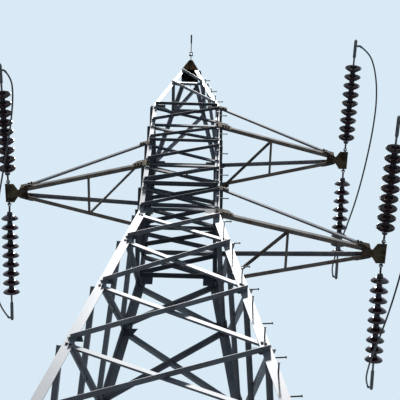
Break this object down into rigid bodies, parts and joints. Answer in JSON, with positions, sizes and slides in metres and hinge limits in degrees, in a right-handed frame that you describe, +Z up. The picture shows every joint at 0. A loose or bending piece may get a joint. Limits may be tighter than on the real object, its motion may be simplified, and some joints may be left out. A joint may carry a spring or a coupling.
{
  "type": "lattice transmission pylon",
  "caption": "Lattice steel pylon, square and tapered, with a slim cage, a pointed peak, three crossarms and strings of insulator discs on both sides",
  "frame": {"origin": "on the ground, midway between the four feet, on the body's upright axis", "axes": "+X along the crossarms towards the side with two arms, +Y along the line away from the viewer of the picture, +Z up"},
  "size_m": [5.729, 5.0736, 21.91],
  "materials": {
    "galvanised_steel": "weathered hot dip zinc, matt",
    "dull_steel": "dull brown weathered zinc",
    "forged_fittings": "forged and galvanised",
    "porcelain": null,
    "aluminium_fittings": "weathered aluminium",
    "conductor": "stranded, weathered"
  },
  "bodies": {
    "root": {"body_braces_back": "galvanised_steel", "body_braces_front": "galvanised_steel", "body_braces_left": "galvanised_steel", "body_braces_right": "galvanised_steel", "body_packings": "galvanised_steel", "cage_braces_back": "galvanised_steel", "cage_braces_front": "galvanised_steel", "cage_braces_left": "galvanised_steel", "cage_braces_right": "galvanised_steel", "cage_legs": "galvanised_steel", "cage_packings": "galvanised_steel", "cage_struts": "galvanised_steel", "corner_gussets": "galvanised_steel", "dead_end_clamps_back": "aluminium_fittings", "dead_end_clamps_front": "aluminium_fittings", "earth_wire_dead_ends": "forged_fittings", "earth_wire_plate": "galvanised_steel", "earth_wire_shackles": "forged_fittings", "feet": "galvanised_steel", "insulator_strings_back": "porcelain", "insulator_strings_front": "porcelain", "joint_gussets": "galvanised_steel", "jumper_left": "conductor", "jumper_lower_right": "conductor", "jumper_upper_right": "conductor", "left_arm_bracing": "dull_steel", "left_arm_chords": "dull_steel", "left_arm_plates": "dull_steel", "left_arm_ties": "galvanised_steel", "left_arm_tip_plate": "dull_steel", "leg_back_left": "galvanised_steel", "leg_back_right": "galvanised_steel", "leg_front_left": "galvanised_steel", "leg_front_right": "galvanised_steel", "links_back": "forged_fittings", "links_front": "forged_fittings", "lower_right_arm_bracing": "dull_steel", "lower_right_arm_chords": "dull_steel", "lower_right_arm_plates": "dull_steel", "lower_right_arm_ties": "galvanised_steel", "lower_right_arm_tip_plate": "dull_steel", "peak_braces": "galvanised_steel", "peak_cap": "galvanised_steel", "peak_legs": "galvanised_steel", "shackles_back": "forged_fittings", "shackles_front": "forged_fittings", "step_bolts": "forged_fittings", "upper_right_arm_bracing": "dull_steel", "upper_right_arm_chords": "dull_steel", "upper_right_arm_plates": "dull_steel", "upper_right_arm_ties": "galvanised_steel", "upper_right_arm_tip_plate": "dull_steel"}
  },
  "joints": []
}
